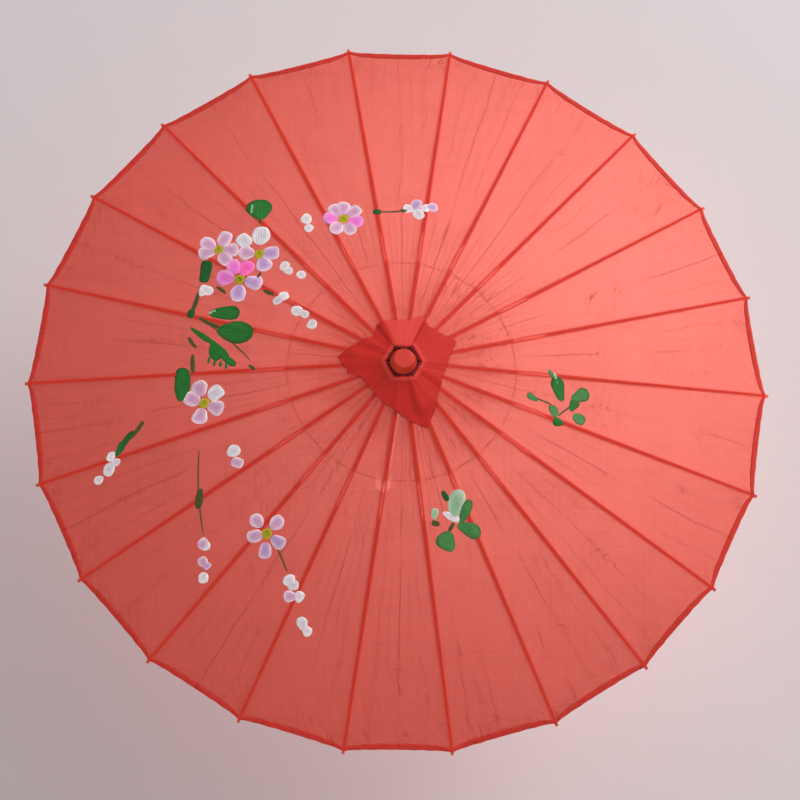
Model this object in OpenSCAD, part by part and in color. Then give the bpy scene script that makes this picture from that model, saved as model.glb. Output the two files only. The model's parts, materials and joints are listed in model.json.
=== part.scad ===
// Cloth-covered parasol with bamboo ribs, shown open and upright.
// Origin: middle of the grip, on the shaft's axis. +Z runs up the shaft to the finial.
// Rib 1 points along +X, and the others follow anticlockwise seen from above.

/* [Canopy] */
// Number of ribs, and of stretchers
rib_count = 22; // [22:1:22]
// Radius from the axis to the tips of the ribs
canopy_r = 410; // [408:1:414]
// Slope of the open ribs below the horizontal
open_slope = 14; // [13:0.5:15]
// How far each scallop of the rim dips inside the straight line between two tips
scallop_dip = 3; // [2:0.5:5]
// Width of the hem along the rim
hem_w = 7; // [5:1:9]
// Thickness of the stretched cloth
cloth_t = 0.8; // [0.7:0.1:1]

/* [Ribs and stretchers] */
// Length of the link from a rib's hinge to its joint, and of each stretcher
link_len = 113; // [112:0.5:114]
// Width of a rib at its head, inside the slotted hub
rib_head_w = 2.6; // [2.4:0.1:2.7]
// Width of a rib at its joint with the stretcher
rib_joint_w = 4.6; // [4.4:0.1:4.8]
// Width of a rib at its tip
rib_tip_w = 3; // [2.6:0.1:3.4]
// Depth of a rib below its centre line at the joint
rib_belly = 2.7; // [2.4:0.1:2.8]
// Width of a stretcher where it sits in the rib's fork
stretcher_fork_w = 1.9; // [1.7:0.1:2]
// Width of a stretcher at its middle
stretcher_mid_w = 3.4; // [3:0.1:3.6]
// Width of a stretcher in the runner's slot
stretcher_foot_w = 2.4; // [2.2:0.1:2.5]

/* [Shaft and grip] */
// Height of the rib hinges above the middle of the grip
head_z = 470; // [465:1:475]
// Radius of the shaft
shaft_r = 5.5; // [5.3:0.1:5.7]
// Radius of the grip
grip_r = 9; // [8.5:0.1:10]
// Length of the grip
grip_len = 95; // [90:1:100]

/* [Hub and runner] */
// Radius of the circle that the hinge wires run on
pivot_r = 15; // [15:0.1:15.2]
// Outer radius of the hub and of the runner
hub_r = 18; // [17.6:0.1:18.4]
// Width of the slots for the rib heads
slot_w = 3; // [2.9:0.05:3.05]
// Radius of the hinge wires
wire_r = 0.6; // [0.5:0.05:0.6]
// Radial clearance of the runner on the shaft
slide_gap = 0.08; // [0.05:0.01:0.1]

/* [Hidden] */
$fn = 64;

function two_digits(i) = i < 10 ? str("0", i) : str(i);

// Working values of the linkage
pitch = 360 / rib_count;
rib_len = (canopy_r - pivot_r) / cos(open_slope);
joint_r = pivot_r + link_len * cos(open_slope);
joint_z = head_z - link_len * sin(open_slope);
runner_z = head_z - 2 * link_len * sin(open_slope);

// Fits
fit_gap = 0.02;
pin_gap = 0.1;
wire_gap = 0.05;
cloth_gap = 0.4;
thin = 0.1;

// Rib: heights above its centre line and stations along it
rib_top = 2.3;
rib_head_r = 2.4;
rib_tip_belly = 0.4;
head_end = 14;
full_width_at = 45;
fork_back = 14;
fork_front = 40;
fork_w = 2.3;
thread_r = 0.4;
thread_hole_r = 0.6;

// Stretcher
stretcher_half = 2.1;
foot_r = 2.3;
narrow_to = 46;
wide_from = 62;
wide_to = 84;
foot_from = 100;

// Hub: heights are measured from the rib hinges
hub_top = 2.2;
hub_bottom = -8;
hub_core_r = 12.2;
hub_neck_top = 4.5;
groove_r = pivot_r - wire_r - wire_gap;
groove_h = 2 * (wire_r + wire_gap);

// Runner: heights are measured from its own hinges
runner_top = 6;
runner_slot_floor = -3;
runner_flange_bottom = -7;
runner_sleeve_r = 10;
runner_bottom = -34;

// Finial: heights are measured from the rib hinges
finial_top = 17;
finial_base_r = 14.4;
finial_top_r = 11;
finial_edge = 1.5;
shaft_top = 12;

// Catch under the runner: drawn sprung out, and placed pressed into its slot
catch_gap = 0.8;
catch_top = runner_z + runner_bottom - catch_gap;
catch_len = 34;
catch_pivot_z = catch_top - catch_len;
catch_travel = 7;
catch_t = 2.4;
catch_nose = 8.6;
catch_nose_h = 4;
catch_back = [[1.2, 0], [0.2, 12]];
catch_front = [4.7, 14];
catch_slot_w = 3;
catch_slot_back = -3.9;
catch_slot_over = 2;
catch_slot_under = 1;
catch_boss_r = 2;
catch_pin_r = 0.9;
catch_pin_gap = 0.06;
catch_pin_inset = 0.3;

// Pin that stops the runner under the hub
stop_pin_r = 1.2;
stop_pin_len = 17;
stop_gap = 0.6;
stop_pin_z = runner_z + runner_top + stop_pin_r + stop_gap;

// Grip
grip_edge = 5;
grip_floor = 6;

// Canopy cone, measured along the axis from the rib hinges
skin_low = (rib_top + cloth_gap) / cos(open_slope) + pivot_r * tan(open_slope);
skin_t = cloth_t / cos(open_slope);
cover_gap = 0.1;
cover_t = 0.6;
eye_r = 17.4;
eye_sides = 6;
scallop_steps = 6;
rib_nub = 2;
cloth_r = canopy_r - rib_nub;

// Corners of the torn-edged cap cover: bearing from rib 1 and distance from the axis
COVER_CORNERS = [
    [4, 50], [27, 66], [40, 57], [57, 52], [70, 63], [80, 53], [95, 51], [116, 55],
    [122, 54], [135, 46], [156, 58], [172, 72], [190, 60], [197, 50], [213, 46],
    [229, 47], [245, 49], [266, 56], [277, 64], [291, 75], [308, 60], [326, 48]];

function on_bearing(p) = p[1] * [cos(p[0]), sin(p[0])];

module ring_of(count) {
    for (i = [0 : count - 1]) rotate([0, 0, i * 360 / count]) children();
}

// A bore or pin through a rib-like part, across its width, at a place along it
module across(x, r, w) {
    translate([x, 0, 0]) rotate([90, 0, 0]) cylinder(r = r, h = w, center = true);
}

// A ring of round wire
module wire_ring(ring_r, r, z) {
    translate([0, 0, z]) rotate_extrude($fn = 96) translate([ring_r, 0]) circle(r = r, $fn = 24);
}

// The side outline, extruded sideways, kept only inside the plan outline
module bar_from_outlines(side, plan) {
    reach = 20;
    intersection() {
        rotate([90, 0, 0]) linear_extrude(reach, center = true) polygon(side);
        linear_extrude(reach, center = true) polygon(plan);
    }
}

// Plan outline from stations [place along the bar, width]
function plan_outline(stations) = concat(
    [for (s = stations) [s[0], -s[1] / 2]],
    [for (k = [len(stations) - 1 : -1 : 0]) [stations[k][0], stations[k][1] / 2]]);

module rib() {
    side = [[0, rib_top], [0, -rib_top], [full_width_at, -rib_belly],
            [link_len + fork_front, -rib_belly], [rib_len, -rib_tip_belly], [rib_len, rib_top]];
    stations = [[0, rib_head_w], [head_end, rib_head_w], [full_width_at, rib_joint_w - 0.2],
                [link_len - fork_back, rib_joint_w], [link_len + fork_front, rib_joint_w],
                [rib_len, rib_tip_w]];
    color("indianred") difference() {
        union() {
            bar_from_outlines(side, plan_outline(stations));
            across(0, rib_head_r, rib_head_w);
        }
        across(0, wire_r + pin_gap, 2 * rib_head_w);
        across(link_len, thread_hole_r, 2 * rib_joint_w);
        translate([link_len - fork_back, -fork_w / 2, -rib_joint_w])
            cube([fork_back + fork_front, fork_w, 2 * rib_joint_w]);
    }
}

// Lies along +X from its joint with the rib to its foot in the runner
module stretcher() {
    side = [[0, stretcher_half], [0, -stretcher_half],
            [link_len, -stretcher_half], [link_len, stretcher_half]];
    stations = [[0, stretcher_fork_w], [narrow_to, stretcher_fork_w], [wide_from, stretcher_mid_w],
                [wide_to, stretcher_mid_w], [foot_from, stretcher_foot_w],
                [link_len, stretcher_foot_w]];
    color("peru") difference() {
        union() {
            bar_from_outlines(side, plan_outline(stations));
            across(0, stretcher_half, stretcher_fork_w);
            across(link_len, foot_r, stretcher_foot_w);
        }
        across(0, thread_hole_r, 2 * stretcher_fork_w);
        across(link_len, wire_r + pin_gap, 2 * stretcher_foot_w);
    }
}

module placed_rib(i) {
    rotate([0, 0, (i - 1) * pitch]) translate([pivot_r, 0, head_z]) rotate([0, open_slope, 0]) rib();
}

module placed_stretcher(i) {
    rotate([0, 0, (i - 1) * pitch]) translate([joint_r, 0, joint_z])
        rotate([0, 180 - open_slope, 0]) stretcher();
}

// Radial slots that the rib heads or the stretcher feet turn in
module slots(low, high) {
    ring_of(rib_count) translate([hub_core_r, -slot_w / 2, low]) cube([hub_r, slot_w, high - low]);
}

// Groove that the hinge wire is wound in
module wire_groove() {
    difference() {
        cylinder(r = hub_r + 1, h = groove_h, center = true);
        cylinder(r = groove_r, h = 2 * groove_h, center = true);
    }
}

module head_hub() {
    color("burlywood") translate([0, 0, head_z]) difference() {
        rotate_extrude() polygon([
            [shaft_r + fit_gap, hub_bottom], [hub_r - 1, hub_bottom], [hub_r, hub_bottom + 1],
            [hub_r, hub_top], [hub_core_r, hub_top], [hub_core_r, hub_neck_top],
            [shaft_r + fit_gap, hub_neck_top]]);
        slots(hub_bottom - 1, hub_top + 1);
        wire_groove();
    }
}

module runner() {
    bore_r = shaft_r + slide_gap;
    color("burlywood") translate([0, 0, runner_z]) difference() {
        rotate_extrude() polygon([
            [bore_r, runner_bottom], [runner_sleeve_r - 1, runner_bottom],
            [runner_sleeve_r, runner_bottom + 1], [runner_sleeve_r, runner_flange_bottom - 3],
            [hub_r, runner_flange_bottom], [hub_r, runner_top - 1],
            [hub_r - 1, runner_top], [bore_r, runner_top]]);
        slots(runner_slot_floor, runner_top + 1);
        wire_groove();
    }
}

module head_wire() {
    color("gray") wire_ring(pivot_r, wire_r, head_z);
}

module runner_wire() {
    color("gray") wire_ring(pivot_r, wire_r, runner_z);
}

module joint_thread() {
    color("maroon") wire_ring(joint_r, thread_r, joint_z);
}

module shaft() {
    slot_low = catch_pivot_z - catch_boss_r - catch_slot_under;
    slot_high = catch_top + catch_slot_over;
    foot = -grip_len / 2 + grip_floor + thin;
    color("tan") difference() {
        translate([0, 0, foot]) cylinder(r = shaft_r, h = head_z + shaft_top - foot);
        translate([catch_slot_back, -catch_slot_w / 2, slot_low])
            cube([2 * shaft_r, catch_slot_w, slot_high - slot_low]);
        translate([0, 0, catch_pivot_z]) across(0, catch_pin_r + fit_gap, 3 * shaft_r);
        translate([0, 0, stop_pin_z]) across(0, stop_pin_r + fit_gap, 3 * shaft_r);
    }
}

module stop_pin() {
    color("peru") translate([0, 0, stop_pin_z]) across(0, stop_pin_r, stop_pin_len);
}

module catch_pin() {
    color("gray") translate([0, 0, catch_pivot_z]) 
        across(0, catch_pin_r, 2 * (shaft_r - catch_pin_inset));
}

// Sprung tongue in the shaft's slot, pressed in as when the runner slides over it. Sprung out, its
// nose stands under the runner.
module catch() {
    outline = [[-catch_boss_r, 0], [catch_boss_r, 0], catch_front,
               [catch_nose, catch_len - catch_nose_h], [catch_nose, catch_len],
               for (p = catch_back) [p[0], catch_len - p[1]]];
    color("silver") translate([0, 0, catch_pivot_z]) rotate([0, -catch_travel, 0]) difference() {
        union() {
            rotate([90, 0, 0]) linear_extrude(catch_t, center = true) polygon(outline);
            across(0, catch_boss_r, catch_t);
        }
        across(0, catch_pin_r + catch_pin_gap, 2 * catch_t);
    }
}

module finial() {
    color("indianred") translate([0, 0, head_z]) rotate_extrude() polygon([
        [0, shaft_top + fit_gap], [shaft_r + fit_gap, shaft_top + fit_gap],
        [shaft_r + fit_gap, hub_neck_top], [finial_base_r, hub_neck_top],
        [finial_base_r, hub_neck_top + 2], [finial_top_r + 0.2, finial_top - finial_edge],
        [finial_top_r - finial_edge, finial_top], [0, finial_top]]);
}

module grip() {
    half = grip_len / 2;
    color("tan") rotate_extrude() difference() {
        union() {
            translate([0, -half + grip_edge]) square([grip_r, grip_len - 2 * grip_edge]);
            translate([0, -half]) square([grip_r - grip_edge, grip_len]);
            for (end = [-1, 1]) translate([grip_r - grip_edge, end * (half - grip_edge)])
                intersection() {
                    circle(r = grip_edge);
                    translate([0, end > 0 ? 0 : -grip_edge]) square(grip_edge);
                }
        }
        translate([0, -half + grip_floor]) square([shaft_r + fit_gap, grip_len]);
    }
}

// Conical layer that starts a given height above the line of the rib hinges
module cone_layer(from_r, to_r, lift, t) {
    rise = tan(open_slope);
    translate([0, 0, head_z + skin_low + lift]) rotate_extrude($fn = 96) polygon([
        [from_r, -from_r * rise], [to_r, -to_r * rise],
        [to_r, -to_r * rise + t], [from_r, -from_r * rise + t]]);
}

// Distance from the axis to the cloth's edge, part of a turn past a rib (share from 0 to 1 runs
// from one tip to the next): an arc that dips inside the straight line between the tips
function edge_point(tip_r, i, share) =
    let (a = on_bearing([i * pitch, tip_r]), b = on_bearing([(i + 1) * pitch, tip_r]),
         inward = -on_bearing([(i + 0.5) * pitch, 1]))
    a + (b - a) * share + inward * scallop_dip * 4 * share * (1 - share);

// Plan of the cloth, with a scallop between each two tips
module scalloped_plan(tip_r) {
    polygon([for (i = [0 : rib_count - 1]) for (k = [0 : scallop_steps - 1])
        edge_point(tip_r, i, k / scallop_steps)]);
}

module canopy() {
    color("salmon") intersection() {
        cone_layer(eye_r + 1, canopy_r, 0, skin_t);
        translate([0, 0, head_z - canopy_r]) linear_extrude(2 * canopy_r)
            scalloped_plan(cloth_r - hem_w);
    }
}

module rim_hem() {
    color("firebrick") intersection() {
        cone_layer(canopy_r - 3 * hem_w - scallop_dip, canopy_r, 0, skin_t);
        translate([0, 0, head_z - canopy_r]) linear_extrude(2 * canopy_r) difference() {
            scalloped_plan(cloth_r);
            scalloped_plan(cloth_r - hem_w);
        }
    }
}

module cap_cover() {
    color("crimson") intersection() {
        cone_layer(1, canopy_r / 4, skin_t + cover_gap, cover_t);
        translate([0, 0, head_z - canopy_r]) linear_extrude(2 * canopy_r) difference() {
            polygon([for (c = COVER_CORNERS) on_bearing(c)]);
            polygon([for (k = [0 : eye_sides - 1]) on_bearing([k * 360 / eye_sides, eye_r])]);
        }
    }
}

shaft();
grip();
finial();
head_hub();
head_wire();
stop_pin();
catch_pin();
canopy();
rim_hem();
cap_cover();
joint_thread();
catch();
runner();
runner_wire();
for (i = [1 : rib_count])
    placed_rib(i);
for (i = [1 : rib_count])
    placed_stretcher(i);
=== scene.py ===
"""A red cloth parasol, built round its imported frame.

The cloth, its hem, the cap cover, the joint thread and the painted flowers are made in one part for
each rib, from the middle of one panel to the middle of the next, so that they fold with the ribs.
Lengths are in metres, in the frame's own axes: +Z runs up the shaft, and rib 1 points along +X.
"""

import json
import math

import bmesh
import bpy
import numpy as np
from bpy.props import FloatProperty, FloatVectorProperty, IntProperty, PointerProperty
from bpy.types import Operator, Panel, PropertyGroup
from mathutils import Matrix, Vector


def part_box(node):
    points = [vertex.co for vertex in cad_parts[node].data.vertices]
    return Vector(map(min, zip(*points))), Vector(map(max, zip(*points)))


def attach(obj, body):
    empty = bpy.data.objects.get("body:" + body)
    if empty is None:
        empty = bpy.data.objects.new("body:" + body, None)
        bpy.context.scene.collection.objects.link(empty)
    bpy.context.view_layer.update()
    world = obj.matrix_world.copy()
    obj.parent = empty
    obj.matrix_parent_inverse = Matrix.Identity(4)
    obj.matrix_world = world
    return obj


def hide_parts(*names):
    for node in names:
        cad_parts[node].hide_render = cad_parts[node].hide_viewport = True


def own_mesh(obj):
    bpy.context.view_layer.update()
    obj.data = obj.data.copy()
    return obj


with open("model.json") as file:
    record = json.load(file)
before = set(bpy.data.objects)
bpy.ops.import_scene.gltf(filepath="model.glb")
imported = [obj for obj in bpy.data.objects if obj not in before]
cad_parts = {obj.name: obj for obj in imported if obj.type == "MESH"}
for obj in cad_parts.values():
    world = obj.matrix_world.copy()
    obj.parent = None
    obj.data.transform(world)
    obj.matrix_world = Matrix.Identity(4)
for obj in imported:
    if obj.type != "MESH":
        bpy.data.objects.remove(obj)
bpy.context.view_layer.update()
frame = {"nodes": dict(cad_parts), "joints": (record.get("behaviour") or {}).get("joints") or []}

bl_info = {
    "name": "Cloth parasol",
    "version": (1, 0, 0),
    "blender": (4, 5, 0),
    "location": "3D View > Sidebar > Parasol",
    "description": "Cloth, bamboo, paint and stage for a parasol built round its frame",
    "category": "Object",
}

MM = 0.001

# ---------------------------------------------------------------- places taken from the frame

RIB_COUNT = sum(name.startswith("rib_") for name in frame["nodes"])
PITCH = 2 * math.pi / RIB_COUNT
HALF = PITCH / 2
JOINTS = {joint["name"]: joint for joint in frame["joints"]}
FOLD = "canopy_fold"
PIVOT_R, _, HEAD_Z = JOINTS[FOLD]["pos_m"]
JOINT_R, _, JOINT_Z = JOINTS["stretcher_01_hinge"]["pos_m"]
SLOPE = math.atan2(HEAD_Z - JOINT_Z, JOINT_R - PIVOT_R)
TIP_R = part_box("rib_01")[1].x
CLOTH_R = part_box("rim_hem")[1].x
CLOTH_EYE_R = 18.4 * MM
CLOTH_TOP_ON_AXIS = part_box("canopy")[1].z + CLOTH_EYE_R * math.tan(SLOPE)
# The cloth lies this far below the frame's cloth at rest, so that its wrinkles stay inside it
ROOM_FOR_WRINKLES = 0.6 * MM
TIP_Z = HEAD_Z - (TIP_R - PIVOT_R) * math.tan(SLOPE)
FLOOR_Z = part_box("grip")[0].z


def rib_name(index):
    """Name of the body, and of the frame's node, of rib number index (1 is along +X)."""
    return f"rib_{index:02d}"


def azimuth(index):
    """Bearing of rib number index, in radians from +X."""
    return (index - 1) * PITCH


def ride_rib(piece, index):
    """The piece folds with its rib, and keeps a mesh of its own."""
    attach(piece, rib_name(index))
    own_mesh(piece)


# ---------------------------------------------------------------- sizes and colours to change


class ParasolCloth(PropertyGroup):
    """Sizes and dye of the stretched cloth"""

    colour: FloatVectorProperty(
        name="Cloth colour", description="Dye of the canopy cloth", subtype="COLOR",
        size=3, min=0.0, max=1.0, default=(0.68, 0.066, 0.042))
    glow: FloatVectorProperty(
        name="Light through the cloth", description="Colour of light that one layer lets through",
        subtype="COLOR", size=3, min=0.0, max=1.0, default=(1.0, 0.52, 0.47))
    gap: FloatVectorProperty(
        name="Light between threads", description="Colour of what shows through the open weave",
        subtype="COLOR", size=3, min=0.0, max=1.0, default=(1.0, 0.84, 0.81))
    hem_colour: FloatVectorProperty(
        name="Hem colour", description="Dye of the doubled rim band", subtype="COLOR",
        size=3, min=0.0, max=1.0, default=(0.74, 0.046, 0.030))
    thickness: FloatProperty(
        name="Cloth thickness", description="Thickness of the stretched cloth",
        subtype="DISTANCE", unit="LENGTH", min=0.0002, max=0.0006, default=0.00035)
    ridge: FloatProperty(
        name="Rib ridge", description="How far the cloth drops off beside each rib",
        subtype="DISTANCE", unit="LENGTH", min=0.0, max=0.003, default=0.0006)
    bow: FloatProperty(
        name="Panel bow", description="How far the middle of a panel hangs below its ribs",
        subtype="DISTANCE", unit="LENGTH", min=0.0, max=0.006, default=0.0022)
    wrinkle: FloatProperty(
        name="Wrinkles", description="Height of the drag lines near tips and ribs",
        subtype="DISTANCE", unit="LENGTH", min=0.0, max=0.001, default=0.00035)
    hem_width: FloatProperty(
        name="Hem width", description="Width of the doubled rim band",
        subtype="DISTANCE", unit="LENGTH", min=0.004, max=0.009, default=0.0065)
    scallop: FloatProperty(
        name="Scallop dip", description="How far the rim dips inside the line between two tips",
        subtype="DISTANCE", unit="LENGTH", min=0.0005, max=0.006, default=0.001)
    cap_colour: FloatVectorProperty(
        name="Cap colour", description="Dye of the thick cap cover", subtype="COLOR",
        size=3, min=0.0, max=1.0, default=(0.66, 0.024, 0.017))


class ParasolWood(PropertyGroup):
    """Colours of the bamboo, wood, lacquer and thread"""

    bamboo: FloatVectorProperty(
        name="Bamboo colour", description="Stain of the ribs and stretchers", subtype="COLOR",
        size=3, min=0.0, max=1.0, default=(0.80, 0.110, 0.055))
    shaft: FloatVectorProperty(
        name="Shaft colour", description="Varnished shaft", subtype="COLOR",
        size=3, min=0.0, max=1.0, default=(0.42, 0.22, 0.10))
    grip: FloatVectorProperty(
        name="Grip colour", description="Turned grip", subtype="COLOR",
        size=3, min=0.0, max=1.0, default=(0.20, 0.075, 0.030))
    # painted shade: the hub and runner are nearly black, so the hole round the knob reads as shadow
    hub: FloatVectorProperty(
        name="Hub colour", description="Near-black hub and runner, a painted shade round the knob", subtype="COLOR",
        size=3, min=0.0, max=1.0, default=(0.045, 0.002, 0.003))
    lacquer: FloatVectorProperty(
        name="Knob colour", description="Lacquer of the knob", subtype="COLOR",
        size=3, min=0.0, max=1.0, default=(0.62, 0.040, 0.023))
    thread: FloatVectorProperty(
        name="Thread colour", description="Waxed thread through the joints", subtype="COLOR",
        size=3, min=0.0, max=1.0, default=(0.16, 0.018, 0.014))
    ease: FloatProperty(
        name="Eased edges", description="Rounding on the long edges of the split bamboo",
        subtype="DISTANCE", unit="LENGTH", min=0.0, max=0.0006, default=0.0004)


class ParasolPaint(PropertyGroup):
    """The brush strokes on the cloth"""

    lift: FloatProperty(
        name="Paint thickness", description="Height of a stroke's middle above the cloth",
        subtype="DISTANCE", unit="LENGTH", min=0.0001, max=0.0006, default=0.0003)
    seed: IntProperty(
        name="Brush seed", description="Seed of the uneven stroke outlines",
        min=0, max=9999, default=7)


class ParasolStage(PropertyGroup):
    """Floor, lights and camera"""

    floor: FloatVectorProperty(
        name="Floor colour", description="Pale plain floor", subtype="COLOR",
        size=3, min=0.0, max=1.0, default=(0.62, 0.60, 0.615))
    sky: FloatProperty(
        name="Room light", description="Strength of the even light all round",
        min=0.0, max=3.0, default=0.58)
    key: FloatProperty(
        name="Key light", description="Power of the soft light from the right",
        subtype="POWER", unit="POWER", min=0.0, max=400.0, default=82.0)
    under: FloatProperty(
        name="Light from below", description="Power of the light under the canopy's right side",
        subtype="POWER", unit="POWER", min=0.0, max=200.0, default=3.0)
    camera_azimuth: FloatProperty(
        name="Camera azimuth", description="Turn of the camera about the shaft from -Y",
        subtype="ANGLE", unit="ROTATION", default=math.radians(-9.05))
    camera_elevation: FloatProperty(
        name="Camera elevation", description="Height of the camera above the horizon",
        subtype="ANGLE", unit="ROTATION", default=math.radians(72.6))
    camera_roll: FloatProperty(
        name="Camera roll", description="Turn of the camera about its own line of sight",
        subtype="ANGLE", unit="ROTATION", default=math.radians(9.6))
    camera_distance: FloatProperty(
        name="Camera distance", description="From the camera to the middle of the rim",
        subtype="DISTANCE", unit="LENGTH", min=1.0, max=10.0, default=3.31)
    lens: FloatProperty(
        name="Lens", description="Focal length of the camera in millimetres",
        min=50.0, max=300.0, default=135.0)


# ---------------------------------------------------------------- the shape of the cloth


def smooth_step(value):
    """From 0 to 1 as the value goes from 0 to 1, level at both ends."""
    value = np.clip(value, 0.0, 1.0)
    return value * value * (3.0 - 2.0 * value)


def edge_pucker(beta):
    """Small puckers of the sewn edge, which die away at the tips and at the middle of a panel."""
    run = beta * CLOTH_R
    return 0.28 * MM * np.sin(run / (2.9 * MM)) * np.sin(math.pi * np.abs(beta) / HALF) ** 2


def cloth_edge(beta, settings):
    """Radius of the cloth's edge at an angle beta from the nearest rib: a peak on the rib's tip,
    and a shallow scallop between two ribs."""
    away = np.abs(beta)
    chord = CLOTH_R * math.cos(HALF) / np.cos(HALF - away)
    dip = settings.scallop * (1.0 - (1.0 - away / HALF) ** 2)
    peak = 1.7 * MM * (1.0 - np.exp(-away * CLOTH_R / (4.5 * MM)))
    return chord - dip - peak - edge_pucker(beta)


def wrinkles(rho, u, x, y, settings):
    """Drag lines that fan out from each rib's tip and slant off each rib, strongest towards +X.

    rho is the distance from the shaft, and u the distance from the nearest rib's middle line.
    """
    to_tip = np.maximum(CLOTH_R - rho, 0.0)
    reach = np.hypot(u, to_tip)
    turn = np.arctan2(np.abs(u), to_tip + 1e-6)
    fan = np.cos(turn * 15.0 + 2.0 * np.sin(37.0 * x) + 2.0 * np.sin(29.0 * y + 1.0))
    fan = fan * np.exp(-reach / (55.0 * MM)) * smooth_step(reach / (12.0 * MM))
    side = 0.45 + 0.55 * smooth_step((x + 0.12) / 0.35)
    slant = np.sin((rho * 0.75 + np.abs(u) * 1.6) / (3.1 * MM) + 3.0 * np.sin(23.0 * y - 17.0 * x))
    slant = slant * np.exp(-np.abs(u) / (15.0 * MM)) * (0.5 + 0.5 * np.sin(61.0 * rho + 40.0 * x))
    slow = np.sin(31.0 * x + 9.0 * y) * np.sin(27.0 * y - 14.0 * x + 0.7)
    return settings.wrinkle * (1.1 * fan + 0.22 * side * slant + 1.2 * slow)


def cloth_height(x, y, settings):
    """Height of the cloth's outer face above a point of its plan: flat facets between the ribs that
    ridge up over each rib, bow down a little between them and wrinkle."""
    rho = np.hypot(x, y)
    angle = np.arctan2(y, x)
    beta = angle - PITCH * np.round(angle / PITCH)
    u = rho * np.sin(beta)
    facet = CLOTH_TOP_ON_AXIS - rho * np.cos(HALF - np.abs(beta)) / math.cos(HALF) * math.tan(SLOPE)
    away = smooth_step((np.abs(u) - 2.6 * MM) / (8.0 * MM))
    out = smooth_step((rho - 22.0 * MM) / (70.0 * MM))
    share = np.clip((rho - CLOTH_EYE_R) / (CLOTH_R - CLOTH_EYE_R), 0.0, 1.0)
    middle = 1.0 - (1.0 - np.abs(beta) / HALF) ** 2
    bow = settings.bow * middle * np.sin(math.pi * share ** 1.3) ** 0.7
    drop = settings.ridge * away * out + bow * out
    off_rib = smooth_step((np.abs(u) - 3.0 * MM) / (6.0 * MM))
    return facet - ROOM_FOR_WRINKLES - drop + off_rib * out * wrinkles(rho, u, x, y, settings)


def cloth_normals(x, y, settings):
    """Unit normals of the cloth's outer face, from small steps either way."""
    step = 0.4 * MM
    dx = cloth_height(x + step, y, settings) - cloth_height(x - step, y, settings)
    dy = cloth_height(x, y + step, settings) - cloth_height(x, y - step, settings)
    normals = np.stack([-dx, -dy, np.full_like(dx, 2 * step)], axis=-1)
    return normals / np.linalg.norm(normals, axis=-1, keepdims=True)


# ---------------------------------------------------------------- mesh helpers


def new_object(name, mesh):
    """An object for a mesh, linked to the scene and standing at the origin."""
    piece = bpy.data.objects.new(name, mesh)
    bpy.context.scene.collection.objects.link(piece)
    return piece


def shade_smooth(mesh):
    """Shades every face of a mesh smooth."""
    mesh.polygons.foreach_set("use_smooth", [True] * len(mesh.polygons))


def face_outwards(mesh):
    """Turns every face of a closed mesh outwards."""
    shape = bmesh.new()
    shape.from_mesh(mesh)
    bmesh.ops.recalc_face_normals(shape, faces=shape.faces)
    shape.to_mesh(mesh)
    shape.free()


def mesh_piece(name, points, faces, material, normals=None):
    """A smooth-shaded object from points and faces, with given point normals where there are any."""
    mesh = bpy.data.meshes.new(name)
    mesh.from_pydata([tuple(p) for p in points], [], faces)
    mesh.materials.append(material)
    shade_smooth(mesh)
    mesh.update()
    if normals is not None:
        mesh.normals_split_custom_set_from_vertices([tuple(n) for n in normals])
    return new_object(name, mesh)


def grid_shell(rows, columns, outer, inner):
    """Points and faces of a closed shell between two grids of rows x columns points."""
    points = np.concatenate([outer.reshape(-1, 3), inner.reshape(-1, 3)])
    size = rows * columns
    faces = []
    for r in range(rows - 1):
        for c in range(columns - 1):
            a, b = r * columns + c, r * columns + c + 1
            d, e = a + columns, b + columns
            faces.append((a, d, e, b))
            faces.append((size + a, size + b, size + e, size + d))
    border = ([r * columns for r in range(rows)]
              + [(rows - 1) * columns + c for c in range(1, columns)]
              + [r * columns + columns - 1 for r in range(rows - 2, -1, -1)]
              + [c for c in range(columns - 2, 0, -1)])
    for k, a in enumerate(border):
        b = border[(k + 1) % len(border)]
        faces.append((b, a, size + a, size + b))
    return points, faces


def eased_copy(node, name, width, longest_plain, material):
    """A copy of a frame node with its triangles joined up and its long sharp edges eased."""
    mesh = frame["nodes"][node].data.copy()
    mesh.name = name
    shape = bmesh.new()
    shape.from_mesh(mesh)
    bmesh.ops.remove_doubles(shape, verts=shape.verts, dist=1e-6)
    bmesh.ops.dissolve_limit(shape, angle_limit=math.radians(1.0), verts=shape.verts,
                             edges=shape.edges)
    sharp = [e for e in shape.edges
             if len(e.link_faces) == 2 and e.calc_length() > longest_plain
             and e.calc_face_angle() > math.radians(35.0)]
    bmesh.ops.bevel(shape, geom=sharp, offset=width, offset_type="OFFSET", segments=2,
                    profile=0.6, affect="EDGES", clamp_overlap=True)
    bmesh.ops.triangulate(shape, faces=[f for f in shape.faces if len(f.verts) > 4])
    shape.to_mesh(mesh)
    shape.free()
    mesh.materials.clear()
    mesh.materials.append(material)
    shade_smooth(mesh)
    mesh.set_sharp_from_angle(angle=math.radians(38.0))
    piece = new_object(name, mesh)
    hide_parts(node)
    return piece


def turned_piece(name, outline, sides, material):
    """A turned piece: an outline of (radius, height) points from the axis round to the axis."""
    points, faces, rings = [], [], []
    for radius, height in outline:
        count = 1 if radius < 1e-7 else sides
        rings.append([len(points) + k for k in range(count)])
        for k in range(count):
            turn = 2 * math.pi * k / sides
            points.append((radius * math.cos(turn), radius * math.sin(turn), height))
    for low, high in zip(rings, rings[1:]):
        for k in range(sides):
            n = (k + 1) % sides
            quad = [low[k % len(low)], low[n % len(low)], high[n % len(high)], high[k % len(high)]]
            faces.append(tuple(dict.fromkeys(quad)))
    piece = mesh_piece(name, points, faces, material)
    face_outwards(piece.data)
    piece.data.set_sharp_from_angle(angle=math.radians(50.0))
    return piece


# ---------------------------------------------------------------- node helpers


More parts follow.
